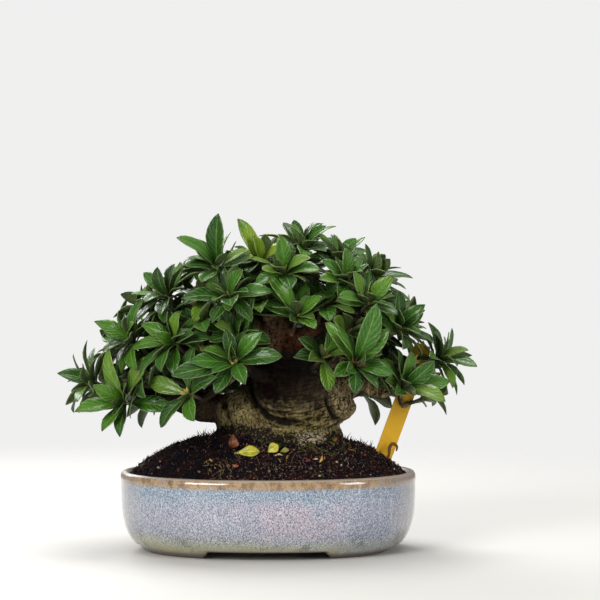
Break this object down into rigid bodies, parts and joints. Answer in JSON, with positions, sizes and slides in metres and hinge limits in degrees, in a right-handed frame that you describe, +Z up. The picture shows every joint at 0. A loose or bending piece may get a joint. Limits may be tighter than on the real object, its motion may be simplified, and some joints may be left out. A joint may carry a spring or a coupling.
{
  "type": "dwarf gardenia bonsai",
  "caption": "Low, broad bonsai with a stout knobbly trunk, rosettes of glossy leaves, heaped soil and an oval glazed pot on feet.",
  "frame": {"origin": "on the surface that the pot stands on, under the middle of the pot", "axes": "+X to the right along the pot, -Y towards the front of the tree, +Z up"},
  "size_m": [0.274, 0.1683, 0.22],
  "materials": {
    "glaze": "gloss",
    "soil": "matte",
    "bark": "matte",
    "leaf": "satin",
    "yellow_leaf": "satin",
    "dry_leaf": "matte",
    "label_plastic": "satin",
    "screen_plastic": "matte"
  },
  "bodies": {
    "root": {"drain_screen_left": "screen_plastic", "drain_screen_right": "screen_plastic", "dry_leaf": "dry_leaf", "fallen_leaf_left": "yellow_leaf", "fallen_leaf_right": "yellow_leaf", "leafy_shoot_01": "leaf", "leafy_shoot_02": "leaf", "leafy_shoot_03": "leaf", "leafy_shoot_04": "leaf", "leafy_shoot_05": "leaf", "leafy_shoot_06": "leaf", "leafy_shoot_07": "leaf", "leafy_shoot_08": "leaf", "leafy_shoot_09": "leaf", "leafy_shoot_10": "leaf", "leafy_shoot_11": "leaf", "leafy_shoot_12": "leaf", "leafy_shoot_13": "leaf", "leafy_shoot_14": "leaf", "leafy_shoot_15": "leaf", "leafy_shoot_16": "leaf", "leafy_shoot_17": "leaf", "leafy_shoot_18": "leaf", "leafy_shoot_19": "leaf", "leafy_shoot_20": "leaf", "leafy_shoot_21": "leaf", "leafy_shoot_22": "leaf", "leafy_shoot_23": "leaf", "leafy_shoot_24": "leaf", "leafy_shoot_25": "leaf", "leafy_shoot_26": "leaf", "leafy_shoot_27": "leaf", "leafy_shoot_28": "leaf", "leafy_shoot_29": "leaf", "leafy_shoot_30": "leaf", "leafy_shoot_31": "leaf", "leafy_shoot_32": "leaf", "leafy_shoot_33": "leaf", "leafy_shoot_34": "leaf", "leafy_shoot_35": "leaf", "leafy_shoot_36": "leaf", "leafy_shoot_37": "leaf", "leafy_shoot_38": "leaf", "plant_label": "label_plastic", "pot": "glaze", "soil": "soil", "tree_wood": "bark"}
  },
  "joints": []
}
